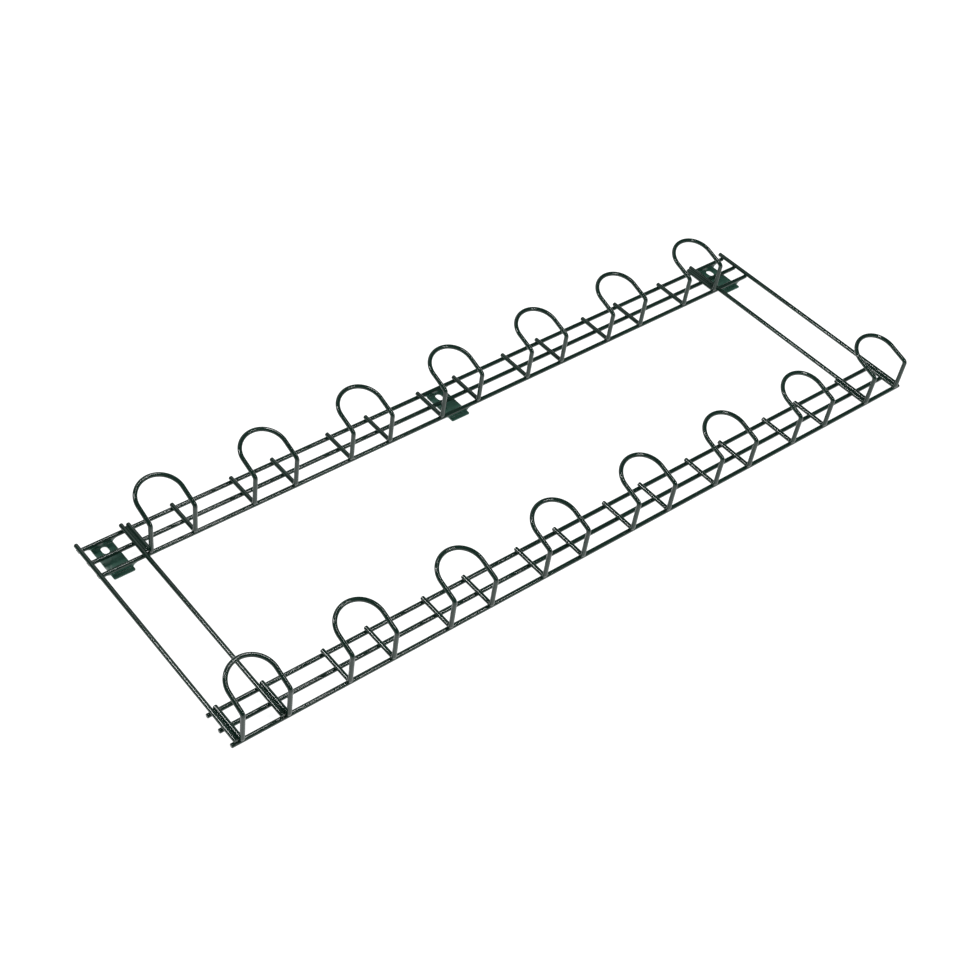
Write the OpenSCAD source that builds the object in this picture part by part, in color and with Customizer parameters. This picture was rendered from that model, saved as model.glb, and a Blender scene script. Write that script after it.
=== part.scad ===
// Wall-mounted wire hook rack.
// A lower rail of eight hooks and an upper rail of seven hooks are tied by four cross wires,
// with three slotted wall brackets under the upper rail.
// +X runs along the rails, +Y up the wall and +Z out from the wall, in millimetres.
// The origin is at the middle of the rack's outline, on the wall plane.

/* [Frame] */
// Distance between the outer cross wires, centre to centre
frame_w = 1076; // [1000:1:1200]
// Distance between the front wires of the two rails, centre to centre
rail_gap = 300; // [250:1:350]
// Distance from a rail's front wire to its middle wire
front_gap = 24.5; // [22:0.5:30]
// Distance from a rail's middle wire to its back wire
back_gap = 25.5; // [25:0.5:32]
// Diameter of every wire, with its coating
wire_d = 6; // [5:0.1:6.2]
// How far the lower rail's wires run on past the outer cross wires
lower_stub = 6; // [4:0.5:10]
// How far the upper rail's wires run on past the outer cross wires
upper_stub = 1; // [1:0.5:10]
// How far the cross wires run on past the upper rail's back wire
cross_back_stub = 6.5; // [3:0.5:10]
// How far the cross wires run on past the lower rail's front wire
cross_front_stub = 1.5; // [1:0.5:6]

/* [Hooks] */
// Width of a hook, between the centres of its two legs
hook_w = 61; // [54:1:66]
// Height of a hook's knees above its feet
hook_rise = 47.5; // [35:0.5:60]
// Length of a hook's arch, from its knees to the middle of its top
arch_len = 59; // [45:1:70]
// Angle between a hook's arch and the wall
arch_angle = 19; // [10:1:30]
// How far the knees lean forward of the feet
knee_lean = 3.5; // [0:0.5:6]
// Radius of the bends at a hook's feet and knees, along the middle of the wire
bend_r = 4.5; // [4:0.5:8]
// How far the feet run on past their rail's back wire
foot_back_stub = 3; // [1:0.5:6]
// How far the feet run on past their rail's front wire before they turn up
foot_front_stub = 3.5; // [2:0.5:8]
// Distance from an outer cross wire to the nearest foot of a lower hook
lower_end_gap = 6.6; // [6.4:0.1:10]
// Distance from an inner cross wire to the nearest foot of an upper hook
upper_end_gap = 7.9; // [6.4:0.1:20]

/* [Brackets] */
// Width of a bracket's plate
plate_w = 29; // [24:0.5:32]
// Thickness of a bracket's sheet metal, with its coating
plate_t = 1.6; // [1:0.1:2.5]
// Height of the rail wires' centres above a bracket's back
bracket_depth = 9.5; // [8.5:0.5:14]
// How far the plate runs on in front of the rail's front wire
lip_len = 6.8; // [4:0.1:12]
// Radius of the plate's two front corners
lip_r = 2; // [0.5:0.5:3]
// How much wider a bracket is at the wires than at its plate, on each side
ear_w = 8; // [4:0.5:12]
// Width of the screw slot
slot_w = 9; // [5:0.5:9.5]
// Length of the screw slot
slot_len = 13; // [10:0.5:13]
// Distance from the middle of the screw slot to the rail's back wire
slot_setback = 8.2; // [8.2:0.1:11]

/* [Hidden] */
$fn = 48;

coating = [0.11, 0.22, 0.17];
lower_hooks = 8;
upper_hooks = 7;
// Radius that the coating gives to a wire's cut ends
tip_r = 1;
// Bends are a hair thicker than the straight stretches, whose ends run on this far into them
bend_d = wire_d + 0.04;
lap = 0.2;
// How far crossing wires sink into each other at a weld
weld_sink = 0.3;
rail_depth = front_gap + back_gap;
rail_z = bracket_depth;
// Crossing wires lie on the rail wires, so their centres are this high
cross_z = rail_z + wire_d - weld_sink;
// An inner cross wire is a hook's width from the outer one, so each lies beside a lower hook's foot
cross_gap = hook_w;
// The tops of a bracket's webs sink into the wires
web_top = rail_z - wire_d / 2 + weld_sink;

// Direction of a hook's riser in its side view, from +Y
riser_angle = atan2(hook_rise, -knee_lean);
foot_turn = 180 - riser_angle;
knee_turn = riser_angle - arch_angle;
foot_tangent = bend_r * tan(foot_turn / 2);
knee_tangent = bend_r * tan(knee_turn / 2);
arch_r = hook_w / 2;

// The origin is halfway up the outline, from the lower knees' bends to the cross wires' tips
knee_bend_y = -foot_front_stub - knee_lean - knee_tangent * cos(riser_angle) + bend_r * sin(riser_angle);
outline_front = knee_bend_y - bend_r - bend_d / 2;
outline_back = rail_gap + rail_depth + max(cross_back_stub, foot_back_stub);

lower_pitch = (frame_w - 2 * lower_end_gap - hook_w) / (lower_hooks - 1);
upper_first = cross_gap + upper_end_gap;
upper_pitch = (frame_w - 2 * upper_first - hook_w) / (upper_hooks - 1);

// Half section of a straight wire along +Y, with a rounded cut end at its far end
module rod_half(length, diameter) {
    square([diameter / 2, length - tip_r]);
    square([diameter / 2 - tip_r, length]);
    translate([diameter / 2 - tip_r, length - tip_r])
        circle(tip_r);
}

// The same, with both ends cut and rounded, and the origin halfway along
module cut_rod_half(length, diameter) {
    for (end = [0, 1])
        mirror([0, end])
            rod_half(length / 2, diameter);
}

// One wire of a rail; y is its place above the lower rail's front wire
module rail_wire(y, stub) {
    color(coating)
        translate([0, y, rail_z])
            rotate([0, 90, 0])
                rotate_extrude()
                    cut_rod_half(frame_w + 2 * stub, wire_d);
}

// One wire that ties the two rails together
module cross_wire(x) {
    front = -cross_front_stub;
    back = rail_gap + rail_depth + cross_back_stub;
    color(coating)
        translate([x, (front + back) / 2, cross_z])
            rotate([-90, 0, 0])
                rotate_extrude()
                    cut_rod_half(back - front, wire_d);
}

// Places its children in a hook's side view, with local +X at the given angle from +Y
module side_view(y, z, angle) {
    translate([0, y, z])
        rotate([90, 0, 90])
            rotate(angle)
                children();
}

// A straight stretch of hook wire from y, z, which laps into the bend at each end
module run(y, z, angle, length) {
    side_view(y, z, angle)
        translate([-lap, 0, 0])
            rotate([0, 90, 0])
                cylinder(h = length + 2 * lap, d = wire_d);
}

// A bend in the hook wire, about y, z
module bend(y, z, angle, turn) {
    side_view(y, z, angle)
        rotate_extrude(angle = turn)
            translate([bend_r, 0])
                circle(d = bend_d);
}

// One leg of a hook: its foot, riser and knee, and the straight part of the arch
module hook_leg() {
    foot_y = -foot_front_stub;
    knee_y = foot_y - knee_lean;
    knee_z = cross_z + hook_rise;
    riser_len = norm([knee_lean, hook_rise]) - foot_tangent - knee_tangent;
    foot_start = foot_y + foot_tangent - lap;
    translate([0, foot_start, cross_z])
        rotate([-90, 0, 0])
            rotate_extrude()
                rod_half(rail_depth + foot_back_stub - foot_start, wire_d);
    bend(foot_y + foot_tangent, cross_z + bend_r, 270 - foot_turn, foot_turn);
    run(
        foot_y + foot_tangent * cos(riser_angle),
        cross_z + foot_tangent * sin(riser_angle),
        riser_angle,
        riser_len
    );
    bend(
        knee_bend_y,
        knee_z - knee_tangent * sin(riser_angle) - bend_r * cos(riser_angle),
        arch_angle + 90,
        knee_turn
    );
    run(
        knee_y + knee_tangent * cos(arch_angle),
        knee_z + knee_tangent * sin(arch_angle),
        arch_angle,
        arch_len - arch_r - knee_tangent
    );
}

// The half-round top of a hook's arch
module arch_top() {
    translate([0, -foot_front_stub - knee_lean, cross_z + hook_rise])
        rotate([arch_angle, 0, 0])
            translate([0, arch_len - arch_r, 0])
                rotate_extrude(angle = 180)
                    translate([arch_r, 0])
                        circle(d = bend_d);
}

// A hook bent from one wire; x is its middle and y is its rail's front wire
module hook(x, y) {
    color(coating)
        translate([x, y, 0]) {
            for (side = [-1, 1])
                translate([side * hook_w / 2, 0, 0])
                    hook_leg();
            arch_top();
        }
}

module lower_hook(number) {
    hook(-frame_w / 2 + lower_end_gap + hook_w / 2 + (number - 1) * lower_pitch, 0);
}

module upper_hook(number) {
    hook(-frame_w / 2 + upper_first + hook_w / 2 + (number - 1) * upper_pitch, rail_gap);
}

// A bracket's section across the rail: plate, lip and the two upright webs
module bracket_section() {
    translate([-lip_len, 0])
        square([lip_len + rail_depth, plate_t]);
    for (y = [0, rail_depth])
        translate([y - plate_t / 2, plate_t / 2])
            square([plate_t, web_top - plate_t / 2]);
    translate([rail_depth - plate_t / 2, 0])
        intersection() {
            translate([0, plate_t])
                circle(plate_t);
            square(plate_t);
        }
}

// A bracket's outline along the rail: narrow at the plate and flared at the wires.
// Halfway up, the flare has reached a quarter of its width.
module bracket_front() {
    half = plate_w / 2;
    flare_z = (plate_t + web_top) / 2;
    flare_x = half + ear_w / 4;
    polygon([
        [-half, 0], [half, 0], [half, plate_t],
        [flare_x, flare_z], [half + ear_w, web_top],
        [-half - ear_w, web_top], [-flare_x, flare_z],
        [-half, plate_t]
    ]);
}

// What is cut off to round the plate's front right corner
module corner_cut() {
    translate([plate_w / 2 - lip_r, -lip_len - lip_r, -1])
        difference() {
            cube([2 * lip_r, 2 * lip_r, plate_t + 2]);
            translate([0, 2 * lip_r, -1])
                cylinder(h = plate_t + 4, r = lip_r);
        }
}

// A slot with round ends, along Y
module slot_cut() {
    straight = slot_len - slot_w;
    translate([0, rail_depth - slot_setback, -1]) {
        translate([-slot_w / 2, -straight / 2, 0])
            cube([slot_w, straight, plate_t + 2]);
        for (y = [-straight / 2, straight / 2])
            translate([0, y, 0])
                cylinder(h = plate_t + 2, d = slot_w);
    }
}

// A sheet-metal bracket welded under the upper rail
module wall_bracket(x) {
    reach = plate_w + 2 * ear_w;
    color(coating)
        translate([x, rail_gap, 0])
            difference() {
                intersection() {
                    translate([-reach / 2, 0, 0])
                        rotate([90, 0, 90])
                            linear_extrude(reach)
                                bracket_section();
                    translate([0, rail_depth + plate_t, 0])
                        rotate([90, 0, 0])
                            linear_extrude(rail_depth + lip_len + 2 * plate_t)
                                bracket_front();
                }
                slot_cut();
                for (side = [0, 1])
                    mirror([side, 0, 0])
                        corner_cut();
            }
}

// Everything is built up from the lower rail's front wire, then centred on the origin
module centred() {
    translate([0, -(outline_front + outline_back) / 2, 0])
        children();
}

module lower_rail_wire_front() {
    centred() rail_wire(0, lower_stub);
}

module lower_rail_wire_middle() {
    centred() rail_wire(front_gap, lower_stub);
}

module lower_rail_wire_back() {
    centred() rail_wire(rail_depth, lower_stub);
}

module upper_rail_wire_front() {
    centred() rail_wire(rail_gap, upper_stub);
}

module upper_rail_wire_middle() {
    centred() rail_wire(rail_gap + front_gap, upper_stub);
}

module upper_rail_wire_back() {
    centred() rail_wire(rail_gap + rail_depth, upper_stub);
}

module cross_wire_outer_left() {
    centred() cross_wire(-frame_w / 2);
}

module cross_wire_inner_left() {
    centred() cross_wire(-frame_w / 2 + cross_gap);
}

module cross_wire_inner_right() {
    centred() cross_wire(frame_w / 2 - cross_gap);
}

module cross_wire_outer_right() {
    centred() cross_wire(frame_w / 2);
}

module wall_bracket_left() {
    centred() wall_bracket(-frame_w / 2 + cross_gap / 2);
}

module wall_bracket_middle() {
    centred() wall_bracket(0);
}

module wall_bracket_right() {
    centred() wall_bracket(frame_w / 2 - cross_gap / 2);
}

lower_rail_wire_front();
lower_rail_wire_middle();
lower_rail_wire_back();
upper_rail_wire_front();
upper_rail_wire_middle();
upper_rail_wire_back();
cross_wire_outer_left();
cross_wire_inner_left();
cross_wire_inner_right();
cross_wire_outer_right();
for (number = [1:lower_hooks])
    centred() lower_hook(number);
for (number = [1:upper_hooks])
    centred() upper_hook(number);
wall_bracket_left();
wall_bracket_middle();
wall_bracket_right();
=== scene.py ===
"""The looks of a wall-mounted wire hook rack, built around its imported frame.

Everything is in metres, with +X along the rails, +Y up the wall and +Z out of it. The rack lies
on its brackets' backs, as it would on a table.
"""

import math

import bmesh
import bpy
from mathutils import Matrix, Vector, noise


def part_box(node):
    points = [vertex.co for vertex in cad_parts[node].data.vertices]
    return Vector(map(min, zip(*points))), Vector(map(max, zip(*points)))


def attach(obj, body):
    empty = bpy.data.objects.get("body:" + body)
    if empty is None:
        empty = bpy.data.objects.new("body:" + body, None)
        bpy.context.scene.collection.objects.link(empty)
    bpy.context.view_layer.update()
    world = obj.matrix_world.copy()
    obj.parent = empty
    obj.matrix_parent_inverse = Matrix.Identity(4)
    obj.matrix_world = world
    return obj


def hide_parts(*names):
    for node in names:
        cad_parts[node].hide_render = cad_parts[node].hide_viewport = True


# Camera, in degrees and metres: the direction it looks in, its roll and what it looks at
LOOK_AZIMUTH = 41.849
LOOK_ELEVATION = 43.728
CAMERA_ROLL = 5.471
TARGET = Vector((-0.0531, 0.0112, 0.0))
TARGET_DISTANCE = 2.2166
SENSOR = 36.0
LENS = 64.507
FAR_CLIP = 40.0

# The studio: a pale floor, a dim room and four soft lights
FLOOR_SIZE = 40.0
FLOOR_DROP = 0.0005
FLOOR_COLOUR = (0.5, 0.5, 0.5, 1)
FLOOR_GLOW = 0.93
ROOM_COLOUR = (0.9, 0.97, 1.0, 1)
ROOM_STRENGTH = 0.12
LIGHTS = (
    # name, place, what it points at, width, height, watts
    ("light_right", (0.74, -1.50, 1.85), (-0.1, 0.0, 0.0), 0.75, 0.14, 15),
    ("light_left", (-1.35, 1.20, 1.80), (0.1, 0.0, 0.0), 0.45, 0.2, 14),
    ("light_top", (0.25, -0.15, 2.30), (0.0, 0.0, 0.0), 0.9, 0.12, 10),
    ("light_back", (0.1, 1.70, 1.50), (0.0, 0.0, 0.0), 2.0, 1.2, 5),
)

# Coatings: ranges of colour, roughness, noise and its ramp, and the depth of the orange peel
WIRE_DARK = (0.0050, 0.0230, 0.0150, 1)
WIRE_LIGHT = (0.0090, 0.0360, 0.0240, 1)
WIRE_ROUGHNESS = (0.085, 0.105)
SHEET_DARK = (0.0230, 0.0850, 0.0590, 1)
SHEET_LIGHT = (0.0420, 0.1250, 0.0920, 1)
SHEET_ROUGHNESS = (0.34, 0.40)
NOISE_MIDDLE = (0.3, 0.7)
RAMP_ENDS = (0.36, 0.64)
PEEL_DEPTH = 0.0001

# Shape of the fillets that the coating leaves round a weld, as shares of the wire's radius
FILLET_OUTER = 0.97
FILLET_WAIST = 0.80
FILLET_SINK = 0.00004
FILLET_SIDES = 28
FILLET_STEPS = 6
# Each weld's fillet is this much of its full size, give or take a little by where it is
SWELL_MIDDLE = 0.985
SWELL_SPREAD = 0.03
SWELL_PLACES = (37, 53)

CROSS_WIRES = ("outer_left", "inner_left", "inner_right", "outer_right")
RAIL_PARTS = ("front", "middle", "back")
LOWER_HOOKS = 8
UPPER_HOOKS = 7
BRACKETS = ("left", "middle", "right")

# Where a foot lies close beside a cross wire, the coating has run together between them
FILM_RISE = math.radians(24)
FILM_DROP = math.radians(38)
FILM_SAG = 0.0009
FILM_STEPS = 6
# How many radii from its end a film reaches each share of its full height
FILM_TAPER = ((0.0, 0.3), (0.25, 0.8), (1.0, 1.0))
FILM_PAIRS = (
    ("lower_hook_1", "left", "cross_wire_outer_left"),
    ("lower_hook_1", "right", "cross_wire_inner_left"),
    ("lower_hook_8", "left", "cross_wire_inner_right"),
    ("lower_hook_8", "right", "cross_wire_outer_right"),
    ("upper_hook_1", "left", "cross_wire_inner_left"),
    ("upper_hook_7", "right", "cross_wire_inner_right"),
)

# The brackets' sheet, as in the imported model, and the small shapes on it
SHEET = 0.0016
PLATE_HALF = 0.0145
EAR_HALF = 0.0225
EDGE_ROUND = 0.00035
BEND_FILLET = 0.0011
JOINT_FILLET = 0.0009
JOINT_REACH = math.radians(42)
STRIP_STEPS = 6
BEAD_X = 0.0120
BEAD_SIZE = Vector((0.0017, 0.0012, 0.0012))
BEAD_LUMP = 0.16
BEAD_LUMP_SCALE = 1.7
BEAD_LUMP_SEED = 900
DISSOLVE_ANGLE = math.radians(1)
ROUND_ANGLE = math.radians(30)
# How far from its end a strip reaches each share of its full section
STRIP_TAPER = ((0.0, 0.2), (0.0006, 0.8), (0.0015, 1.0))


def camera():
    """Places the camera and makes it the scene's own."""
    azimuth = math.radians(LOOK_AZIMUTH)
    elevation = math.radians(LOOK_ELEVATION)
    forward = Vector((
        math.sin(azimuth) * math.cos(elevation),
        math.cos(azimuth) * math.cos(elevation),
        -math.sin(elevation),
    ))
    level = forward.cross(Vector((0, 0, 1))).normalized()
    upright = level.cross(forward)
    roll = math.radians(CAMERA_ROLL)
    right = level * math.cos(roll) + upright * math.sin(roll)
    up = right.cross(forward)
    place = Matrix((right, up, -forward)).transposed().to_4x4()
    place.translation = TARGET - forward * TARGET_DISTANCE
    data = bpy.data.cameras.new("camera")
    data.sensor_width = SENSOR
    data.lens = LENS
    data.clip_end = FAR_CLIP
    view = bpy.data.objects.new("camera", data)
    view.matrix_world = place
    bpy.context.scene.collection.objects.link(view)
    bpy.context.scene.camera = view


def principled(name):
    """A new material, its shader and its tree."""
    material = bpy.data.materials.new(name)
    material.use_nodes = True
    tree = material.node_tree
    return material, tree.nodes["Principled BSDF"], tree


def floor():
    """The pale floor that the rack lies on."""
    material, shader, _ = principled("floor")
    shader.inputs["Base Color"].default_value = FLOOR_COLOUR
    shader.inputs["Roughness"].default_value = 0.9
    shader.inputs["Specular IOR Level"].default_value = 0.1
    shader.inputs["Emission Color"].default_value = (1, 1, 1, 1)
    shader.inputs["Emission Strength"].default_value = FLOOR_GLOW
    bpy.ops.mesh.primitive_plane_add(size=FLOOR_SIZE, location=(0, 0, -FLOOR_DROP))
    plane = bpy.context.object
    plane.name = "floor"
    plane.data.materials.append(material)


def lights():
    """A dim room and the soft lights."""
    room = bpy.data.worlds.new("room")
    room.use_nodes = True
    background = room.node_tree.nodes["Background"]
    background.inputs["Color"].default_value = ROOM_COLOUR
    background.inputs["Strength"].default_value = ROOM_STRENGTH
    bpy.context.scene.world = room
    for name, place, target, width, height, watts in LIGHTS:
        data = bpy.data.lights.new(name, "AREA")
        data.shape = "RECTANGLE"
        data.size = width
        data.size_y = height
        data.energy = watts
        lamp = bpy.data.objects.new(name, data)
        lamp.location = place
        aim = Vector(target) - Vector(place)
        lamp.rotation_euler = aim.to_track_quat("-Z", "Y").to_euler()
        bpy.context.scene.collection.objects.link(lamp)


def noise_node(tree, coordinates, scale, detail):
    """Noise in the object's own coordinates."""
    texture = tree.nodes.new("ShaderNodeTexNoise")
    texture.inputs["Scale"].default_value = scale
    texture.inputs["Detail"].default_value = detail
    tree.links.new(coordinates.outputs["Object"], texture.inputs["Vector"])
    return texture


def spread(tree, source, low, high):
    """Maps noise's middle range to the values given."""
    spread_node = tree.nodes.new("ShaderNodeMapRange")
    spread_node.inputs["From Min"].default_value = NOISE_MIDDLE[0]
    spread_node.inputs["From Max"].default_value = NOISE_MIDDLE[1]
    spread_node.inputs["To Min"].default_value = low
    spread_node.inputs["To Max"].default_value = high
    tree.links.new(source, spread_node.inputs["Value"])
    return spread_node.outputs["Result"]


def coating(name, dark, light, roughness, mottle, grain, peel, relief):
    """A glossy coating: cloudy colour, fine grain and a faint orange-peel surface."""
    material, shader, tree = principled(name)
    coordinates = tree.nodes.new("ShaderNodeTexCoord")
    clouds = noise_node(tree, coordinates, mottle, 4)
    specks = noise_node(tree, coordinates, grain, 2)
    mixed = tree.nodes.new("ShaderNodeMath")
    mixed.operation = "MULTIPLY_ADD"
    mixed.inputs[1].default_value = 0.5
    tree.links.new(clouds.outputs["Fac"], mixed.inputs[0])
    half_specks = tree.nodes.new("ShaderNodeMath")
    half_specks.operation = "MULTIPLY"
    half_specks.inputs[1].default_value = 0.5
    tree.links.new(specks.outputs["Fac"], half_specks.inputs[0])
    tree.links.new(half_specks.outputs["Value"], mixed.inputs[2])
    ramp = tree.nodes.new("ShaderNodeValToRGB")
    ramp.color_ramp.elements[0].position = RAMP_ENDS[0]
    ramp.color_ramp.elements[0].color = dark
    ramp.color_ramp.elements[1].position = RAMP_ENDS[1]
    ramp.color_ramp.elements[1].color = light
    tree.links.new(mixed.outputs["Value"], ramp.inputs["Fac"])
    tree.links.new(ramp.outputs["Color"], shader.inputs["Base Color"])
    rough = spread(tree, clouds.outputs["Fac"], *roughness)
    tree.links.new(rough, shader.inputs["Roughness"])
    surface = noise_node(tree, coordinates, peel, 3)
    bump = tree.nodes.new("ShaderNodeBump")
    bump.inputs["Strength"].default_value = relief
    bump.inputs["Distance"].default_value = PEEL_DEPTH
    tree.links.new(surface.outputs["Fac"], bump.inputs["Height"])
    tree.links.new(bump.outputs["Normal"], shader.inputs["Normal"])
    return material


def piece_from(mesh, name, material):
    """Turns a bmesh into a smooth piece that rides on the rack."""
    data = bpy.data.meshes.new(name)
    mesh.to_mesh(data)
    mesh.free()
    data.shade_smooth()
    data.materials.append(material)
    piece = bpy.data.objects.new(name, data)
    bpy.context.scene.collection.objects.link(piece)
    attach(piece, "root")
    return piece


def middle(node):
    """The middle of a node's box."""
    low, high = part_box(node)
    return (low + high) / 2


def taper(low, high, steps, unit):
    """The stations of a tapered stretch from low to high, with each one's share of the section."""
    rising = [(low + reach * unit, share) for reach, share in steps]
    falling = [(high - reach * unit, share) for reach, share in reversed(steps)]
    return rising + falling


def skin(mesh, rings, capped):
    """Joins rings of points with faces, and closes the two ends if asked."""
    count = len(rings[0])
    for before, after in zip(rings, rings[1:]):
        for index in range(count):
            following = (index + 1) % count
            mesh.faces.new((before[index], before[following], after[following], after[index]))
    if capped:
        mesh.faces.new(rings[0][::-1])
        mesh.faces.new(rings[-1])


def add_fillet(mesh, x, y, lower_z, upper_z, radius, swell):
    """Adds the ring of coating between a wire along X and one that lies across it, along Y."""
    rings = []
    for step in range(FILLET_STEPS + 1):
        share = step / FILLET_STEPS
        reach = radius * (FILLET_WAIST + (FILLET_OUTER - FILLET_WAIST) * (2 * share - 1) ** 2)
        reach *= swell
        rise = share * share * (3 - 2 * share)
        ring = []
        for side in range(FILLET_SIDES):
            turn = 2 * math.pi * side / FILLET_SIDES
            dx = reach * math.cos(turn)
            dy = reach * math.sin(turn)
            bottom = lower_z + math.sqrt(radius * radius - dy * dy) - FILLET_SINK
            top = upper_z - math.sqrt(radius * radius - dx * dx) + FILLET_SINK
            ring.append(mesh.verts.new((x + dx, y + dy, bottom + (top - bottom) * rise)))
        rings.append(ring)
    skin(mesh, rings, False)


def foot_places(hook, radius):
    """The X of a hook's two feet."""
    low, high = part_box(hook)
    return low.x + radius, high.x - radius


def weld_fillets(row, hooks, material):
    """The coating round one rail's welds: a piece for the cross wires and one for the feet."""
    front = f"{row}_rail_wire_front"
    low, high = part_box(front)
    radius = (high.z - low.z) / 2
    lower_z = middle(front).z
    upper_z = middle("cross_wire_outer_left").z
    rails = [middle(f"{row}_rail_wire_{part}").y for part in RAIL_PARTS]
    crossings = {
        "cross_welds": [middle(f"cross_wire_{wire}").x for wire in CROSS_WIRES],
        "hook_welds": [
            x
            for number in range(1, hooks + 1)
            for x in foot_places(f"{row}_hook_{number}", radius)
        ],
    }
    for kind, places in crossings.items():
        mesh = bmesh.new()
        for x in places:
            for y in rails:
                place = Vector((x * SWELL_PLACES[0], y * SWELL_PLACES[1], 0))
                swell = SWELL_MIDDLE + SWELL_SPREAD * noise.noise(place)
                add_fillet(mesh, x, y, lower_z, upper_z, radius, swell)
        piece_from(mesh, f"{row}_{kind}", material)


def film_section(low_x, high_x, z, radius):
    """The film of coating between two wires along Y, across X, as (x, z) points."""
    section = []
    for turn, sag, way in ((FILM_RISE, -FILM_SAG, 1), (-FILM_DROP, FILM_SAG, -1)):
        reach = radius * math.cos(turn) - FILLET_SINK
        left = low_x + reach
        right = high_x - reach
        height = z + radius * math.sin(turn)
        curve = []
        for step in range(FILM_STEPS + 1):
            share = step / FILM_STEPS
            curve.append(Vector((
                left + (right - left) * share,
                height + sag * 4 * share * (1 - share),
            )))
        section += curve[::way]
    return section


def coating_films(material):
    """The films of coating between the feet and the cross wires that lie close beside them."""
    low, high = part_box("cross_wire_outer_left")
    radius = (high.x - low.x) / 2
    z = (low.z + high.z) / 2
    mesh = bmesh.new()
    for hook, side, wire in FILM_PAIRS:
        foot_low, foot_high = foot_places(hook, radius)
        foot = foot_low if side == "left" else foot_high
        rail = f"{hook.split('_')[0]}_rail_wire"
        front = middle(f"{rail}_front").y
        back = middle(f"{rail}_back").y + radius / 2
        across = sorted((foot, middle(wire).x))
        section = film_section(across[0], across[1], z, radius)
        centre = sum(section, Vector((0, 0))) / len(section)
        rings = []
        for y, share in taper(front, back, FILM_TAPER, radius):
            heights = [centre.y + (point.y - centre.y) * share for point in section]
            ring = [(point.x, y, height) for point, height in zip(section, heights)]
            rings.append([mesh.verts.new(place) for place in ring])
        skin(mesh, rings, True)
    bmesh.ops.recalc_face_normals(mesh, faces=mesh.faces)
    piece_from(mesh, "coating_films", material)


def curve_points(start, corner, end):
    """A smooth concave curve from start to end that is pulled towards the corner."""
    points = []
    for step in range(STRIP_STEPS + 1):
        share = step / STRIP_STEPS
        near = start.lerp(corner, share)
        far = corner.lerp(end, share)
        points.append(near.lerp(far, share))
    return points


def add_strip(mesh, section, low_x, high_x):
    """Runs a closed section along X, tapered a little at its two ends."""
    centre = section[-1]
    rings = []
    for x, share in taper(low_x, high_x, STRIP_TAPER, 1):
        ring = [centre.lerp(point, share) for point in section]
        rings.append([mesh.verts.new((x, point.x, point.y)) for point in ring])
    skin(mesh, rings, True)


def bend_section(web_y, side):
    """The inside of the bend between a bracket's plate and its web."""
    face = web_y + side * SHEET / 2
    corner = Vector((face, SHEET))
    start = Vector((face + side * BEND_FILLET, SHEET - FILLET_SINK))
    end = Vector((face - side * FILLET_SINK, SHEET + BEND_FILLET))
    inside = corner + Vector((-side * EDGE_ROUND, -EDGE_ROUND))
    return curve_points(start, corner, end) + [inside]


def joint_section(web_y, side, wire_z, radius):
    """The coating in the corner between a bracket's web and the wire it is welded to."""
    half = SHEET / 2
    meeting = wire_z - math.sqrt(radius * radius - half * half)
    corner = Vector((web_y + side * half, meeting))
    start = corner + Vector((-side * FILLET_SINK, -JOINT_FILLET))
    end = Vector((
        web_y + side * radius * math.sin(JOINT_REACH),
        wire_z - radius * math.cos(JOINT_REACH) + FILLET_SINK,
    ))
    inside = corner + Vector((-side * EDGE_ROUND, EDGE_ROUND))
    return curve_points(start, corner, end) + [inside]


def add_bead(mesh, place):
    """Adds one lumpy weld bead."""
    ball = bmesh.ops.create_icosphere(mesh, subdivisions=3, radius=1)
    for vert in ball["verts"]:
        lump_place = vert.co * BEAD_LUMP_SCALE + place * BEAD_LUMP_SEED
        lump = 1 + BEAD_LUMP * noise.noise(lump_place)
        vert.co = place + vert.co * BEAD_SIZE * lump


def rounded_copy(node):
    """A copy of a CAD node with every sharp edge rounded as a coating leaves it."""
    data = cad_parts[node].data.copy()
    mesh = bmesh.new()
    mesh.from_mesh(data)
    bmesh.ops.remove_doubles(mesh, verts=mesh.verts, dist=1e-6)
    bmesh.ops.dissolve_limit(
        mesh, angle_limit=DISSOLVE_ANGLE, verts=mesh.verts, edges=mesh.edges
    )
    mesh.to_mesh(data)
    mesh.free()
    rough = bpy.data.objects.new(node + "_rough", data)
    bpy.context.scene.collection.objects.link(rough)
    rounding = rough.modifiers.new("edges", "BEVEL")
    rounding.width = EDGE_ROUND
    rounding.segments = 3
    rounding.limit_method = "ANGLE"
    rounding.angle_limit = ROUND_ANGLE
    rounding.harden_normals = True
    bpy.context.view_layer.update()
    shape = rough.evaluated_get(bpy.context.evaluated_depsgraph_get())
    mesh = bmesh.new()
    mesh.from_mesh(bpy.data.meshes.new_from_object(shape))
    bpy.data.objects.remove(rough)
    return mesh


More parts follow.
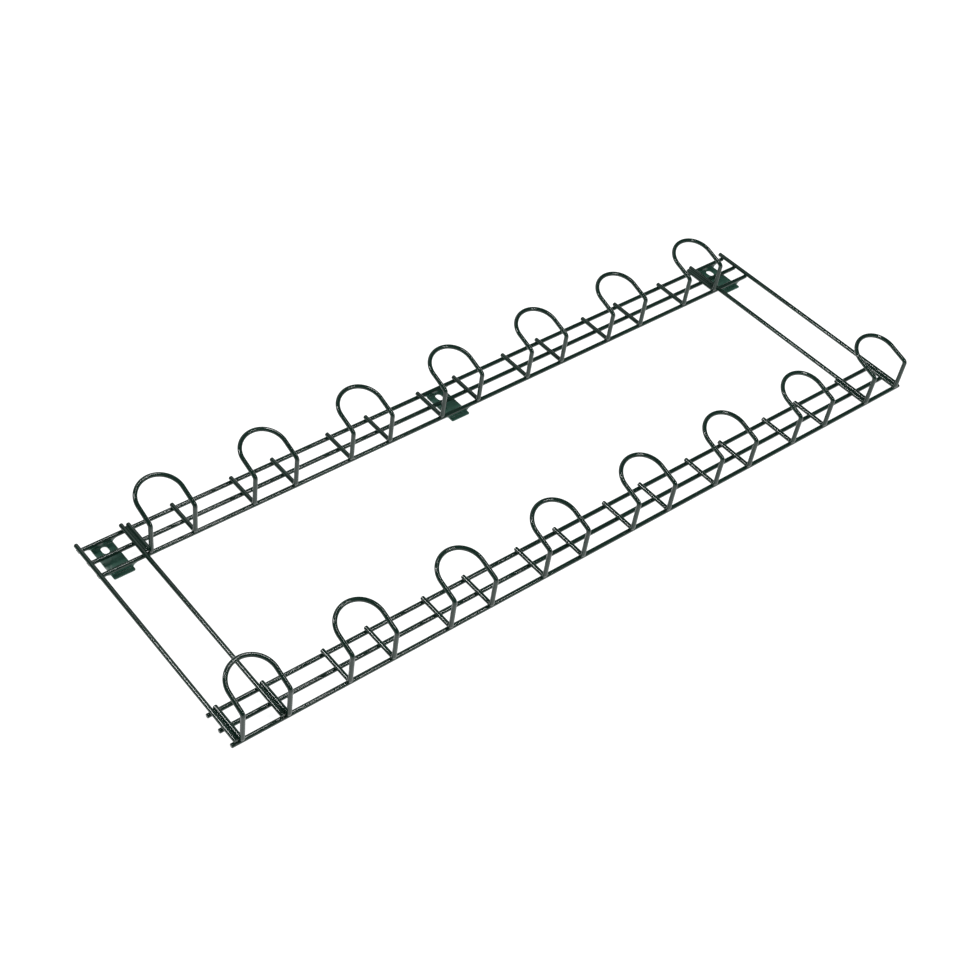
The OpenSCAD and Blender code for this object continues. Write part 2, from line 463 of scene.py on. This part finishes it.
def bracket(place, material):
    """A bracket's rounded shell, the coating in its corners and its weld beads."""
    node = f"wall_bracket_{place}"
    shell = piece_from(rounded_copy(node), f"bracket_{place}", material)
    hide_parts(node)
    x = middle(node).x
    wires = [f"upper_rail_wire_{part}" for part in ("front", "back")]
    low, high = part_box(wires[0])
    radius = (high.z - low.z) / 2
    wire_z = middle(wires[0]).z
    corners = bmesh.new()
    beads = bmesh.new()
    for wire, sides in zip(wires, ((-1, 1), (-1,))):
        web_y = middle(wire).y
        for side in sides:
            add_strip(corners, bend_section(web_y, side), x - PLATE_HALF, x + PLATE_HALF)
        for side in (-1, 1):
            section = joint_section(web_y, side, wire_z, radius)
            add_strip(corners, section, x - EAR_HALF, x + EAR_HALF)
            bead_y = web_y + side * (SHEET / 2 + BEAD_SIZE.y / 3)
            for way in (-1, 1):
                add_bead(beads, Vector((x + way * BEAD_X, bead_y, wire_z - radius)))
    bmesh.ops.recalc_face_normals(corners, faces=corners.faces)
    piece_from(corners, f"bracket_corners_{place}", material)
    piece_from(beads, f"bracket_welds_{place}", material)


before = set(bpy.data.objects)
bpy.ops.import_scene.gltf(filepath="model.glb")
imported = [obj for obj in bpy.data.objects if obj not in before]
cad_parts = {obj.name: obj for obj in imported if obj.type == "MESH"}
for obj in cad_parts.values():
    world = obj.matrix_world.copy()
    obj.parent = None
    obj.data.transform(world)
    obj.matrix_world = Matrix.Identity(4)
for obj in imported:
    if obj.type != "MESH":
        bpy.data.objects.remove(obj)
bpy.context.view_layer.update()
bpy.context.scene.view_settings.view_transform = "Standard"
camera()
lights()
floor()
wire_coating = coating(
    "wire_coating", WIRE_DARK, WIRE_LIGHT, WIRE_ROUGHNESS,
    mottle=18, grain=420, peel=420, relief=0.03,
)
sheet_coating = coating(
    "sheet_coating", SHEET_DARK, SHEET_LIGHT, SHEET_ROUGHNESS,
    mottle=60, grain=900, peel=700, relief=0.10,
)
for name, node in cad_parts.items():
    node.data.materials.clear()
    node.data.materials.append(sheet_coating if name.startswith("wall_") else wire_coating)
weld_fillets("lower", LOWER_HOOKS, wire_coating)
weld_fillets("upper", UPPER_HOOKS, wire_coating)
coating_films(wire_coating)
for place in BRACKETS:
    bracket(place, sheet_coating)
